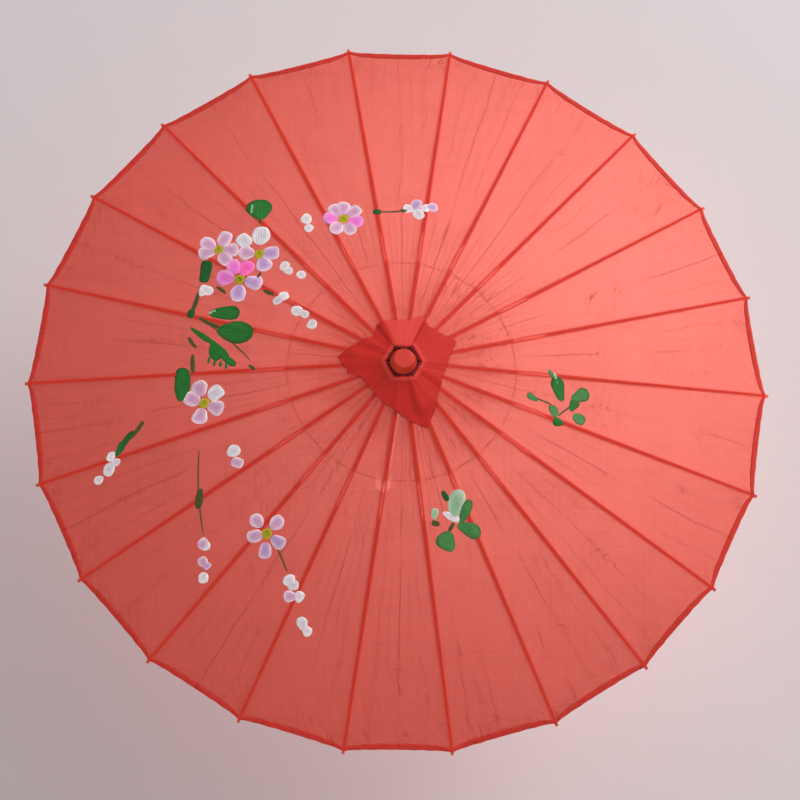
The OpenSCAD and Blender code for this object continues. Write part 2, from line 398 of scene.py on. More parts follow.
class NodeBuilder:
    """A material, a node group or a geometry node tree, built a node at a time."""

    def __init__(self, tree):
        self.tree = tree

    def link(self, value, socket):
        """Joins another socket to a socket, or gives it a value."""
        if isinstance(value, bpy.types.NodeSocket):
            self.tree.links.new(value, socket)
        else:
            socket.default_value = value

    def node(self, kind, inputs=None, **settings):
        """Adds a node. inputs maps a socket's name or number to a value or to another socket."""
        made = self.tree.nodes.new(kind)
        for key, value in settings.items():
            setattr(made, key, value)
        for key, value in (inputs or {}).items():
            self.link(value, made.inputs[key])
        return made

    def math(self, operation, first, second=0.0, third=0.0):
        """Works out one number from up to three."""
        return self.node("ShaderNodeMath", {0: first, 1: second, 2: third},
                         operation=operation).outputs[0]

    def times(self, first, second):
        return self.math("MULTIPLY", first, second)

    def times_plus(self, first, second, third):
        """The first times the second, plus the third."""
        return self.math("MULTIPLY_ADD", first, second, third)

    def highest(self, first, *others):
        """The highest of several numbers."""
        for other in others:
            first = self.math("MAXIMUM", first, other)
        return first

    def vector_math(self, operation, first, second=None, output="Vector"):
        inputs = {0: first} if second is None else {0: first, 1: second}
        return self.node("ShaderNodeVectorMath", inputs, operation=operation).outputs[output]

    def place(self):
        """The piece's own coordinates, in metres."""
        return self.node("ShaderNodeTexCoord").outputs["Object"]

    def split(self, place):
        """The X, Y and Z of a place."""
        return self.node("ShaderNodeSeparateXYZ", {0: place}).outputs

    def join(self, x=0.0, y=0.0, z=0.0):
        return self.node("ShaderNodeCombineXYZ", {"X": x, "Y": y, "Z": z}).outputs[0]

    def polar(self, place):
        """A place moved along the shaft to height 0, and its distance from the shaft."""
        flat = self.vector_math("MULTIPLY", place, (1.0, 1.0, 0.0))
        return flat, self.vector_math("LENGTH", flat, output="Value")

    def stretch(self, place, scale, turn=(0.0, 0.0, 0.0)):
        """A place turned and scaled, which draws out the pattern that reads it."""
        return self.node("ShaderNodeMapping", {"Vector": place, "Rotation": turn,
                                               "Scale": scale}).outputs[0]

    def noise(self, place, scale=1.0, detail=2.0, distortion=0.0):
        """Uneven cloudy values about 0.5."""
        return self.node("ShaderNodeTexNoise", {
            "Vector": place, "Scale": scale, "Detail": detail,
            "Distortion": distortion}).outputs["Fac"]

    def ramp(self, value, low, high, to_low=0.0, to_high=1.0):
        """Maps low to to_low and high to to_high, and holds what lies beyond them."""
        return self.node("ShaderNodeMapRange", {
            "Value": value, "From Min": low, "From Max": high,
            "To Min": to_low, "To Max": to_high}).outputs["Result"]

    def mix(self, share, first, second):
        """Mixes two colours."""
        return self.node("ShaderNodeMix", {0: share, 6: first, 7: second},
                         data_type="RGBA").outputs[2]

    def attribute(self, name, output):
        return self.node("ShaderNodeAttribute", attribute_name=name).outputs[output]

    def bump(self, height, strength, distance):
        return self.node("ShaderNodeBump", {"Height": height, "Strength": strength,
                                            "Distance": distance}).outputs[0]

    def principled(self, inputs):
        return self.node("ShaderNodeBsdfPrincipled", inputs).outputs[0]

    def mix_shaders(self, share, first, second):
        return self.node("ShaderNodeMixShader", {0: share, 1: first, 2: second}).outputs[0]

    def group(self, name, **values):
        """Places a finished node group, with its own values."""
        made = self.node("ShaderNodeGroup", node_tree=bpy.data.node_groups[name])
        for key, value in values.items():
            made.inputs[key.replace("_", " ").capitalize()].default_value = value
        return made.outputs

    def finish(self, surface):
        """Ends a material with the shader of its surface."""
        self.node("ShaderNodeOutputMaterial", {"Surface": surface})


def new_material(name):
    """An empty material, and the builder of its nodes."""
    material = bpy.data.materials.new(name)
    material.use_nodes = True
    material.node_tree.nodes.clear()
    return material, NodeBuilder(material.node_tree)


def new_group(name, inputs, outputs):
    """A shader node group of numbers: inputs by name with their defaults, and outputs by name."""
    tree = bpy.data.node_groups.new(name, "ShaderNodeTree")
    for label, default in inputs.items():
        socket = tree.interface.new_socket(label, in_out="INPUT", socket_type="NodeSocketFloat")
        socket.default_value = default
    for label in outputs:
        tree.interface.new_socket(label, in_out="OUTPUT", socket_type="NodeSocketFloat")
    shader = NodeBuilder(tree)
    given = shader.node("NodeGroupInput").outputs
    result = shader.node("NodeGroupOutput").inputs
    return shader, given, result


def rgba(colour, scale=1.0):
    """A colour socket's value, from a colour made darker or paler."""
    return tuple(min(1.0, c * scale) for c in colour) + (1.0,)


# ---------------------------------------------------------------- shared surface patterns

# The lines that a panel folds on: how far across it from a rib, as a share, and how strong
FOLD_LINES = ((0.5, 1.0), (0.22, 0.7), (0.78, 0.7), (0.36, 0.45), (0.64, 0.45))


def build_weave_group():
    """Cloth weave: fine crossed threads with a few thick slubs."""
    shader, given, result = new_group(
        "Cloth weave", {"Thread pitch": 0.0008, "Slub share": 0.5}, ("Height", "Slubs"))
    place = shader.place()
    parts = shader.split(place)
    turns = shader.math("DIVIDE", 2 * math.pi, given["Thread pitch"])
    warp = shader.math("SINE", shader.times(parts["X"], turns))
    weft = shader.math("SINE", shader.times(parts["Y"], turns))
    across, along = 900.0, 22.0
    slubs = [shader.ramp(shader.noise(shader.stretch(place, scale)), 0.5, 0.85)
             for scale in ((across, along, along), (along, across, along))]
    slub = shader.times(shader.highest(*slubs), given["Slub share"])
    shader.link(slub, result["Slubs"])
    shader.link(shader.times_plus(shader.times(warp, weft), 0.35, slub), result["Height"])


def from_line(shader, ribs_past, line, radius):
    """Distance in metres from a line that runs out from the shaft, a share of a panel past a rib."""
    fraction = shader.math("FRACT", shader.math("ADD", ribs_past, 100.5 - line))
    apart = shader.math("ABSOLUTE", shader.math("SUBTRACT", fraction, 0.5))
    return shader.times(shader.times(apart, PITCH), radius)


def build_crease_group():
    """Cloth creases: the lines that the panels fold on, and short crumples clustered along them."""
    shader, given, result = new_group(
        "Cloth creases", {"Along": 1.0, "Across": 1.0}, ("Height", "Mask", "Rib"))
    place = shader.place()
    parts = shader.split(place)
    _, radius = shader.polar(place)
    turn = shader.math("ARCTAN2", parts["Y"], parts["X"])
    ribs_past = shader.times(turn, 1.0 / PITCH)
    # lines that wander a little and break off where the patches are low
    wander = shader.noise(place, 14.0)
    bent = shader.times_plus(shader.math("SUBTRACT", wander, 0.5), 0.16, ribs_past)
    patch = shader.noise(place, 11.0)
    folds, clusters = [], []
    for line, strength in FOLD_LINES:
        metres = from_line(shader, bent, line, radius)
        broken = shader.ramp(patch, 0.38 + 0.06 * line, 0.56, 0.0, strength)
        folds.append(shader.times(shader.ramp(metres, 0.0, 0.9 * MM, 1.0, 0.0), broken))
        clusters.append(shader.ramp(metres, 1.0 * MM, 9.0 * MM, strength, 0.0))
    fold = shader.times(shader.highest(*folds), given["Along"])
    # short crumples that cross the lines at a slant
    tangent = shader.times(turn, radius)
    slanted = shader.times_plus(shader.math("PINGPONG", tangent, 0.03), 0.8, radius)
    lanes = shader.join(shader.times(slanted, 520.0), shader.times(turn, 26.0),
                        shader.times(radius, 20.0))
    tick = shader.ramp(shader.noise(lanes, detail=1.0), 0.55, 0.68)
    near = shader.noise(place, 17.0, detail=1.0)
    hem = shader.ramp(radius, 0.365, 0.392, 0.0, 0.8)
    tick = shader.times(tick, shader.times(shader.ramp(near, 0.43, 0.58),
                                           shader.highest(*clusters, hem)))
    # broader crumples beside the cap, on the side that rib 1 points to
    broad = shader.noise(shader.vector_math("MULTIPLY", lanes, (0.42, 0.75, 0.8)), detail=0.5)
    phase = shader.times_plus(slanted, 1450.0, shader.times(wander, 16.0))
    broad = shader.times(shader.ramp(broad, 0.47, 0.55),
                         shader.ramp(shader.math("SINE", phase), 0.25, 0.85))
    rumpled = shader.times(shader.ramp(radius, 0.050, 0.066),
                           shader.ramp(radius, 0.115, 0.160, 1.0, 0.0))
    rumpled = shader.times(rumpled, shader.ramp(shader.math("ABSOLUTE", turn), 0.5, 1.0, 1.0, 0.0))
    broad = shader.times(broad, shader.times(rumpled, shader.ramp(near, 0.36, 0.50)))
    tick = shader.times(shader.highest(tick, broad), given["Across"])
    mask = shader.highest(shader.times(fold, 0.6), tick)
    shader.link(shader.times(mask, -1.0), result["Height"])
    shader.link(mask, result["Mask"])
    on_rib = shader.ramp(from_line(shader, ribs_past, 0.0, radius), 1.5 * MM, 2.3 * MM, 0.8, 0.0)
    shader.link(on_rib, result["Rib"])


def build_grain_group():
    """Bamboo grain: fibres that run outwards from the shaft, with darker rings at the nodes."""
    shader, given, result = new_group(
        "Bamboo grain", {"Fibres": 240.0, "Node spacing": 0.16}, ("Fibre", "Ring", "Blotch"))
    place = shader.place()
    flat, radius = shader.polar(place)
    ray = shader.vector_math("NORMALIZE", flat)
    spoke = shader.node("ShaderNodeVectorMath", {0: ray, "Scale": given["Fibres"]},
                        operation="SCALE").outputs[0]
    level = shader.times_plus(radius, math.tan(SLOPE), shader.split(place)["Z"])
    deep = shader.times_plus(level, 900.0, shader.times(radius, 14.0))
    line = shader.vector_math("ADD", spoke, shader.join(z=deep))
    apart = shader.math("FRACT", shader.math("DIVIDE", shader.math("ADD", radius, 0.055),
                                             given["Node spacing"]))
    apart = shader.math("ABSOLUTE", shader.math("SUBTRACT", apart, 0.5))
    shader.link(shader.noise(line, detail=3.0), result["Fibre"])
    shader.link(shader.ramp(apart, 0.0, 0.02, 1.0, 0.0), result["Ring"])
    shader.link(shader.noise(place, 38.0), result["Blotch"])


def build_turned_group():
    """Turned wood: straight grain along the shaft, growth lines and fine lathe marks."""
    shader, given, result = new_group(
        "Turned wood", {"Grain": 320.0, "Marks": 0.4}, ("Grain", "Height"))
    parts = shader.split(shader.place())
    sideways = shader.join(shader.times(parts["X"], given["Grain"]),
                           shader.times(parts["Y"], given["Grain"]),
                           shader.times(parts["Z"], 14.0))
    grain = shader.noise(sideways, detail=4.0, distortion=0.4)
    marks = shader.math("SINE", shader.times(parts["Z"], 7000.0))
    shader.link(grain, result["Grain"])
    shader.link(shader.times_plus(marks, given["Marks"], grain), result["Height"])


# ---------------------------------------------------------------- materials

# Names of the point values that say where the cap's cloth is painted paler, as painted light, and
# where it is painted dark maroon, as painted shade in the eye round the knob
PAINTED_LIGHT = "thin_cloth"
PAINTED_SHADE = "soaked_cloth"
PAINTED_SHADE_COLOUR = (0.13, 0.004, 0.006)


def cloth_material(name, colour, glow, gap, through, clear, crease_height, sheen=0.2, lit_attribute=""):
    """Dyed cloth: what it reflects, the light that glows through it, and what shows through it.

    through is the share of light passed on as glow, and clear the share that goes between threads.
    The last argument names a point value that is 1 where the cloth is painted paler and pinker, as
    painted light; cloth without it is pasted to the ribs and painted redder there, which also
    stands for the shade of the rib behind it.
    """
    material, shader = new_material(name)
    weave = shader.group("Cloth weave", thread_pitch=0.9 * MM, slub_share=0.6)
    crease = shader.group("Cloth creases", along=1.0, across=0.7)
    place = shader.place()
    cloud = shader.noise(place, 6.0, detail=3.0)
    yarns = [shader.ramp(shader.noise(shader.stretch(place, scale)), 0.40, 0.72)
             for scale in ((12.0, 640.0, 1.0), (640.0, 12.0, 1.0))]
    yarn = shader.times(shader.highest(*yarns), 0.22)
    shade = shader.mix(shader.ramp(cloud, 0.35, 0.65, 0.0, 0.35), rgba(colour), rgba(colour, 0.82))
    shade = shader.mix(shader.times(weave["Slubs"], 0.22), shade, rgba(colour, 1.3))
    shade = shader.mix(yarn, shade, rgba(colour, 0.62))
    # painted shade: the creases and crumples darken the cloth's colour
    shade = shader.mix(shader.times(crease["Mask"], 0.55), shade, rgba(colour, 0.55))
    if lit_attribute:
        # painted light: one facet of the cap painted paler and pinker, and a painted highlight on its
        # rolled lip
        paler = (colour[0] * 1.35, colour[1] * 3.6, colour[2] * 4.2)
        shade = shader.mix(shader.attribute(lit_attribute, "Fac"), shade, rgba(paler))
        # painted shade: the cloth turning down into the eye round the knob is painted dark maroon
        shade = shader.mix(shader.attribute(PAINTED_SHADE, "Fac"), shade, rgba(PAINTED_SHADE_COLOUR))
    else:
        # partly paste, partly painted shade: the cloth over the ribs is painted redder, with less
        # green and blue, where the rib behind it blocks light
        pasted_and_shaded = (colour[0] * 1.25, colour[1] * 0.70, colour[2] * 0.60)
        shade = shader.mix(crease["Rib"], shade, rgba(pasted_and_shaded))
    bump = shader.bump(shader.times_plus(weave["Height"], 0.12, crease["Height"]), 0.7,
                       crease_height)
    front = shader.principled({
        "Base Color": shade, "Roughness": 0.6, "Normal": bump, "Sheen Weight": sheen,
        "Sheen Roughness": 0.4, "Sheen Tint": rgba(glow), "Specular IOR Level": 0.2})
    light = shader.mix(shader.times(weave["Slubs"], 0.25), rgba(glow), rgba(glow, 0.82))
    light = shader.mix(yarn, light, rgba(glow, 0.66))
    # painted shade: the creases and crumples pass less light through the cloth
    light = shader.mix(shader.times(crease["Mask"], 0.85), light, rgba(glow, 0.4))
    behind = shader.node("ShaderNodeBsdfTranslucent", {"Color": light, "Normal": bump}).outputs[0]
    hole = shader.node("ShaderNodeBsdfTransparent", {"Color": rgba(gap)}).outputs[0]
    # painted shade: the creases and crumples also let less light through the open weave
    open_share = shader.times(shader.times_plus(crease["Mask"], -0.8, 1.0), clear)
    shader.finish(shader.mix_shaders(open_share, shader.mix_shaders(through, front, behind), hole))
    return material


def bamboo_material(name, colour):
    """Stained split bamboo: satin, with darker fibres, blotches and node rings."""
    material, shader = new_material(name)
    grain = shader.group("Bamboo grain")
    shade = shader.mix(shader.ramp(grain["Fibre"], 0.35, 0.68), rgba(colour, 0.62),
                       rgba(colour, 1.30))
    shade = shader.mix(shader.ramp(grain["Blotch"], 0.45, 0.75, 0.0, 0.45), shade,
                       rgba(colour, 0.75))
    shade = shader.mix(shader.times(grain["Ring"], 0.7), shade, rgba(colour, 0.35))
    shader.finish(shader.principled({
        "Base Color": shade, "Roughness": shader.ramp(grain["Fibre"], 0.3, 0.7, 0.42, 0.58),
        "Normal": shader.bump(grain["Fibre"], 0.5, 0.15 * MM), "Coat Weight": 0.12,
        "Coat Roughness": 0.3}))
    return material


def turned_material(name, colour, grain_size, coat, marks=0.3):
    """Turned wood, from dull (coat 0) to varnished, worn a little paler in places."""
    material, shader = new_material(name)
    wood = shader.group("Turned wood", grain=grain_size, marks=marks)
    worn = shader.noise(shader.place(), 60.0, detail=3.0)
    shade = shader.mix(shader.ramp(wood["Grain"], 0.32, 0.7), rgba(colour, 0.6),
                       rgba(colour, 1.25))
    shade = shader.mix(shader.ramp(worn, 0.55, 0.8, 0.0, 0.3), shade, rgba(colour, 1.6))
    shader.finish(shader.principled({
        "Base Color": shade, "Roughness": shader.ramp(wood["Grain"], 0.3, 0.7, 0.34, 0.5),
        "Normal": shader.bump(wood["Height"], 0.35, 0.12 * MM), "Coat Weight": coat,
        "Coat Roughness": 0.18, "Specular IOR Level": 0.15 + coat}))
    return material


def lacquer_material(name, colour):
    """Lacquered knob: a red coat over wood that is worn a little paler and duller in places."""
    material, shader = new_material(name)
    wood = shader.group("Turned wood", grain=160.0, marks=0.5)
    wear = shader.noise(shader.place(), 220.0, detail=4.0)
    shade = shader.mix(shader.ramp(wear, 0.42, 0.7, 0.0, 0.5), rgba(colour), rgba(colour, 1.25))
    shade = shader.mix(shader.ramp(wood["Grain"], 0.5, 0.75, 0.0, 0.25), shade, rgba(colour, 0.7))
    shader.finish(shader.principled({
        "Base Color": shade, "Roughness": shader.ramp(wear, 0.3, 0.7, 0.34, 0.52),
        "Normal": shader.bump(wood["Height"], 0.4, 0.15 * MM), "Coat Weight": 0.08,
        "Coat Roughness": 0.3, "Specular IOR Level": 0.3}))
    return material


def thread_material(name, colour):
    """Twisted waxed thread: fine slanted strands."""
    material, shader = new_material(name)
    slanted = shader.stretch(shader.place(), (2600.0, 2600.0, 900.0), turn=(0.6, 0.5, 0.8))
    strand = shader.noise(slanted)
    shade = shader.mix(shader.ramp(strand, 0.4, 0.6), rgba(colour, 0.65), rgba(colour, 1.5))
    shader.finish(shader.principled({
        "Base Color": shade, "Roughness": 0.6, "Normal": shader.bump(strand, 0.6, 0.1 * MM),
        "Sheen Weight": 0.2}))
    return material


def steel_material(name, colour, roughness):
    """Drawn steel with fine scratches and dull spots."""
    material, shader = new_material(name)
    place = shader.place()
    line = shader.noise(shader.stretch(place, (1500.0, 1500.0, 90.0)))
    spot = shader.noise(place, 140.0, detail=3.0)
    shade = shader.mix(shader.ramp(spot, 0.5, 0.75, 0.0, 0.5), rgba(colour), rgba(colour, 0.55))
    shader.finish(shader.principled({
        "Base Color": shade, "Metallic": 1.0,
        "Roughness": shader.ramp(line, 0.3, 0.7, roughness, roughness + 0.2)}))
    return material


def paint_material(name):
    """Thick brushed paint: the stroke's own colour with fine bristle lines along it."""
    material, shader = new_material(name)
    colour = shader.attribute("paint_colour", "Color")
    lanes = shader.node("ShaderNodeUVMap", uv_map="brush").outputs[0]
    bristle = shader.noise(shader.stretch(lanes, (11.0, 1.5, 1.0)))
    dark = shader.vector_math("MULTIPLY", colour, (0.62, 0.62, 0.66))
    shade = shader.mix(shader.ramp(bristle, 0.46, 0.68, 0.0, 0.9), colour, dark)
    shader.finish(shader.principled({
        "Base Color": shade, "Roughness": shader.ramp(bristle, 0.3, 0.7, 0.5, 0.65),
        "Normal": shader.bump(bristle, 0.5, 0.2 * MM), "Specular IOR Level": 0.25}))
    return material


def floor_material(name, colour):
    """A pale matt floor that can't be seen from below."""
    material, shader = new_material(name)
    cloud = shader.noise(shader.place(), 2.0, detail=3.0)
    shade = shader.mix(shader.ramp(cloud, 0.35, 0.65, 0.0, 0.3), rgba(colour), rgba(colour, 0.97))
    surface = shader.principled({"Base Color": shade, "Roughness": 0.7,
                                 "Specular IOR Level": 0.2})
    nothing = shader.node("ShaderNodeBsdfTransparent").outputs[0]
    below = shader.node("ShaderNodeNewGeometry").outputs["Backfacing"]
    shader.finish(shader.mix_shaders(below, surface, nothing))
    return material


# ---------------------------------------------------------------- geometry node trees


def new_geometry_tree(name, inputs):
    """A geometry node tree with named inputs (label, socket type, default), and the curve that
    the edges of its input make."""
    tree = bpy.data.node_groups.new(name, "GeometryNodeTree")
    tree.interface.new_socket("Geometry", in_out="INPUT", socket_type="NodeSocketGeometry")
    for label, kind, default in inputs:
        socket = tree.interface.new_socket(label, in_out="INPUT", socket_type=kind)
        if default is not None:
            socket.default_value = default
    tree.interface.new_socket("Geometry", in_out="OUTPUT", socket_type="NodeSocketGeometry")
    made = NodeBuilder(tree)
    given = made.node("NodeGroupInput").outputs
    path = made.node("GeometryNodeMeshToCurve", {"Mesh": given["Geometry"]}).outputs[0]
    return made, given, path


def finish_geometry(made, geometry, thread):
    """Ends a geometry node tree: its instances made real, and of one material."""
    real = made.node("GeometryNodeRealizeInstances", {"Geometry": geometry}).outputs[0]
    finished = made.node("GeometryNodeSetMaterial", {"Geometry": real, "Material": thread})
    made.node("NodeGroupOutput", {"Geometry": finished.outputs[0]})


def build_stitch_tree():
    """Hem stitches: small rounded stitches at an even spacing along each edge of the input."""
    made, given, path = new_geometry_tree("Hem stitches", [
        ("Spacing", "NodeSocketFloat", 3.4 * MM), ("Stitch length", "NodeSocketFloat", 2.2 * MM),
        ("Thread width", "NodeSocketFloat", 0.5 * MM), ("Thread", "NodeSocketMaterial", None)])
    spots = made.node("GeometryNodeCurveToPoints", {"Curve": path, "Length": given["Spacing"]},
                      mode="LENGTH").outputs
    bead = made.node("GeometryNodeMeshUVSphere", {"Segments": 6, "Rings": 4, "Radius": 0.5})
    size = made.join(given["Thread width"], given["Thread width"], given["Stitch length"])
    along = made.node("FunctionNodeAlignRotationToVector", {"Vector": spots["Tangent"]},
                      axis="Z").outputs[0]
    placed = made.node("GeometryNodeInstanceOnPoints", {
        "Points": spots["Points"], "Instance": bead.outputs["Mesh"], "Rotation": along,
        "Scale": size}).outputs[0]
    finish_geometry(made, placed, given["Thread"])


def build_thread_tree():
    """Thread: a round thread along each edge of the input."""
    made, given, path = new_geometry_tree("Thread", [
        ("Thread radius", "NodeSocketFloat", 0.4 * MM), ("Step", "NodeSocketFloat", 2.0 * MM),
        ("Sides", "NodeSocketInt", 8), ("Thread", "NodeSocketMaterial", None)])
    even = made.node("GeometryNodeResampleCurve", {"Curve": path, "Length": given["Step"]},
                     mode="LENGTH").outputs[0]
    ring = made.node("GeometryNodeCurvePrimitiveCircle", {
        "Resolution": given["Sides"], "Radius": given["Thread radius"]}).outputs[0]
    tube = made.node("GeometryNodeCurveToMesh", {"Curve": even, "Profile Curve": ring,
                                                 "Fill Caps": True}).outputs[0]
    finish_geometry(made, tube, given["Thread"])


def grown_piece(name, path, tree_name, **inputs):
    """Runs a geometry node tree on a path of points and keeps the result as a plain mesh."""
    mesh = bpy.data.meshes.new(name + "_path")
    mesh.from_pydata([tuple(p) for p in path], [(k, k + 1) for k in range(len(path) - 1)], [])
    guide = new_object(name + "_path", mesh)
    tree = bpy.data.node_groups[tree_name]
    modifier = guide.modifiers.new(tree_name, "NODES")
    modifier.node_group = tree
    for item in tree.interface.items_tree:
        key = item.name.lower().replace(" ", "_")
        if item.in_out == "INPUT" and key in inputs:
            modifier[item.identifier] = inputs[key]
    depsgraph = bpy.context.evaluated_depsgraph_get()
    grown = bpy.data.meshes.new_from_object(guide.evaluated_get(depsgraph))
    grown.name = name
    guide.modifiers.clear()
    bpy.data.objects.remove(guide)
    shade_smooth(grown)
    return new_object(name, grown)


# ---------------------------------------------------------------- cloth pieces

# Points across a panel and along it, along a hem's share and a stitch line, and over a cap's share
PANEL_GRID = (150, 33)
HEM_COLUMNS = 65
STITCH_COLUMNS = 40
CAP_GRID = (34, 41)


def on_cloth(rho, angle, settings, lift=0.0):
    """Points at a radius and an angle on the cloth's outer face, or at a lift above it."""
    x, y = rho * np.cos(angle), rho * np.sin(angle)
    return np.stack([x, y, cloth_height(x, y, settings) + lift], axis=-1)


def make_panel(index, settings, material):
    """One rib's share of the canopy cloth, as a thin closed shell."""
    rows, columns = PANEL_GRID
    across = np.linspace(-1.0, 1.0, columns)
    beta = HALF * np.sign(across) * np.abs(across) ** 1.15
    first = CLOTH_EYE_R - 0.5 * MM
    last = cloth_edge(beta, settings) - 1.0 * MM
    along = np.linspace(0.0, 1.0, rows)[:, None]
    outer = on_cloth(first + (last - first) * along, azimuth(index) + beta, settings)
    normals = cloth_normals(outer[..., 0], outer[..., 1], settings)
    inner = outer - normals * settings.thickness
    points, faces = grid_shell(rows, columns, outer, inner)
    both = np.concatenate([normals.reshape(-1, 3), -normals.reshape(-1, 3)])
    return mesh_piece(f"canopy_cloth_{index:02d}", points, faces, material, both)


def hem_width(beta, settings):
    """The rim band is folded narrower towards the rib tips."""
    past_tip = np.abs(beta) * CLOTH_R
    return settings.hem_width * (0.55 + 0.45 * (1.0 - np.exp(-past_tip / (14.0 * MM))))


def make_hem(index, settings, material):
    """One rib's share of the rim band: the cloth folded double, with a rounded outer edge."""
    columns = HEM_COLUMNS
    beta = HALF * np.linspace(-1.0, 1.0, columns)
    edge = cloth_edge(beta, settings)
    width = hem_width(beta, settings)
    lift = 0.35 * MM
    fall = settings.thickness + lift
    section = [(1.0, 0.15 * lift), (0.97, lift), (0.5, lift), (0.12, lift), (0.03, lift * 0.6),
               (0.0, (lift - fall) / 2), (0.03, -fall * 0.85), (0.12, -fall), (0.5, -fall),
               (0.97, -fall), (1.0, -fall * 0.9)]
    rings = [on_cloth(edge - width * inward, azimuth(index) + beta, settings, up)
             for inward, up in section]
    count = len(section)
    faces = []
    for r in range(count):
        low, high = r * columns, ((r + 1) % count) * columns
        for c in range(columns - 1):
            faces.append((low + c, low + c + 1, high + c + 1, high + c))
    faces.append(tuple(r * columns for r in range(count)))
    faces.append(tuple((count - 1 - r) * columns + columns - 1 for r in range(count)))
    piece = mesh_piece(f"rim_hem_{index:02d}", np.concatenate(rings), faces, material)
    face_outwards(piece.data)
    return piece


def stitch_line(index, settings):
    """The line of hem stitches on one rib's share of the rim band, on its outer face."""
    beta = HALF * np.linspace(-0.985, 0.985, STITCH_COLUMNS)
    rho = cloth_edge(beta, settings) - hem_width(beta, settings) * 0.78
    return on_cloth(rho, azimuth(index) + beta, settings, 0.42 * MM)


# Corners of the cap cover's cut edge: bearing from rib 1 in degrees and distance in millimetres
CAP_CORNERS = [
    (4, 50), (27, 66), (40, 57), (57, 52), (70, 63), (80, 53), (95, 51), (116, 55),
    (122, 54), (135, 46), (156, 58), (172, 72), (190, 60), (197, 50), (213, 46),
    (229, 47), (245, 49), (266, 56), (277, 64), (291, 75), (308, 60), (326, 48)]
# Width and depth of a tooth of the pinked edge
TOOTH_WIDTH = 3.8 * MM
TOOTH_DEPTH = 2.2 * MM
# From the middle to a corner of the six-sided eye round the knob
CAP_EYE_R = 19.4 * MM
# How far the cover's eye turns down and in towards the hub
CAP_TUCK = 2.0 * MM
CAP_THICKNESS = 0.4 * MM
# Folds of the cap cover: bearing of the crest in degrees, its slopes before and after the crest in
# degrees, and its height in millimetres
CAP_FOLDS = [(4, 34, 14, 2.4), (62, 44, 6, 4.2), (118, 46, 7, 5.6), (145, 8, 12, 2.0),
             (172, 14, 24, 3.6), (205, 14, 18, 1.8), (232, 20, 14, 2.4), (262, 12, 16, 1.8),
             (291, 10, 40, 5.2), (335, 10, 34, 3.0)]
# Where the cap cover is painted paler and pinker, a painted light on one facet: from one bearing to
# another, in degrees
CAP_LIT_FACET = (64, 114)


def cap_edge(angle):
    """Radius of the cap cover's pinked edge at an angle in radians."""
    corners = [(radius * MM * math.cos(math.radians(bearing)),
                radius * MM * math.sin(math.radians(bearing))) for bearing, radius in CAP_CORNERS]
    ray = (math.cos(angle), math.sin(angle))
    edge = 0.0
    for (ax, ay), (bx, by) in zip(corners, corners[1:] + corners[:1]):
        side = (bx - ax, by - ay)
        across = ray[0] * side[1] - ray[1] * side[0]
        if abs(across) < 1e-12:
            continue
        distance = (ax * side[1] - ay * side[0]) / across
        share = (ax * ray[1] - ay * ray[0]) / across
        if -1e-9 <= share <= 1 + 1e-9 and distance > edge:
            edge = distance
    tooth = abs(((angle * edge / TOOTH_WIDTH) % 1.0) - 0.5) * 2.0
    return edge - TOOTH_DEPTH * tooth


def cap_eye(angle):
    """Radius of the six-sided opening round the knob."""
    side = math.pi / 3
    turned = (angle % side) - side / 2
    return CAP_EYE_R * math.cos(side / 2) / math.cos(turned)


def cap_rise(rho, angle, eye):
    """How far the cap cover stands above the cloth: folds, gathers and a rolled lip at its eye."""
    fold = np.zeros_like(rho)
    for bearing, before, after, height in CAP_FOLDS:
        away = np.degrees((angle - math.radians(bearing) + math.pi) % (2 * math.pi) - math.pi)
        share = np.where(away < 0, 1.0 + away / before, 1.0 - away / after)
        fold = np.maximum(fold, height * smooth_step(share))
    spread = np.clip((rho - eye) / (45.0 * MM), 0.0, 1.0)
    gathers = 0.12 * np.sin(angle * 31.0) + 0.08 * np.sin(angle * 47.0 + 1.0)
    lip = 2.4 * np.exp(-((rho - eye - 2.6 * MM) / (2.2 * MM)) ** 2)
    hub = 2.2 * np.exp(-(rho - eye) / (12.0 * MM))
    flat = smooth_step((1.0 - spread) * 3.0)
    return (0.8 + fold * (0.25 + 0.75 * spread) * flat + gathers * (1 - spread) + lip + hub) * MM


def make_cap(index, settings, material):
    """One rib's share of the cap cover, with its painted light and painted shade as point values: a
    paler facet and lip, and a dark eye round the knob.
    """
    rows, columns = CAP_GRID
    angle = azimuth(index) + HALF * np.linspace(-1.0, 1.0, columns)
    eye = np.array([cap_eye(a) for a in angle])
    edge = np.array([cap_edge(a) for a in angle])
    along = np.linspace(0.0, 1.0, rows)[:, None] ** 1.3
    rho = eye - CAP_TUCK + (edge - eye + CAP_TUCK) * along
    outer = on_cloth(rho, angle, settings, cap_rise(rho, angle, eye))
    inner = outer - np.array([0.0, 0.0, CAP_THICKNESS])
    points, faces = grid_shell(rows, columns, outer, inner)
    piece = mesh_piece(f"cap_cover_{index:02d}", points, faces, material)
    bearing = np.degrees(angle) % 360.0
    first, last = CAP_LIT_FACET
    # painted light: one facet is painted paler, and the rolled lip gets a painted highlight
    lit_facet = smooth_step((bearing - first) / 3.0) * smooth_step((last - bearing) / 3.0)
    lip_highlight = np.exp(-((rho - eye - 3.2 * MM) / (2.0 * MM)) ** 2)
    # painted shade: dark maroon where the cloth turns down into the eye round the knob
    eye_shade = 1.0 - smooth_step((rho - eye + 0.3 * MM) / (0.9 * MM))
    for name, values in ((PAINTED_LIGHT, np.maximum(lit_facet * 0.55, lip_highlight * 0.6)), (PAINTED_SHADE, eye_shade)):
        layer = piece.data.attributes.new(name, "FLOAT", "POINT")
        layer.data.foreach_set("value", np.resize(values.ravel(), len(points)))
    return piece


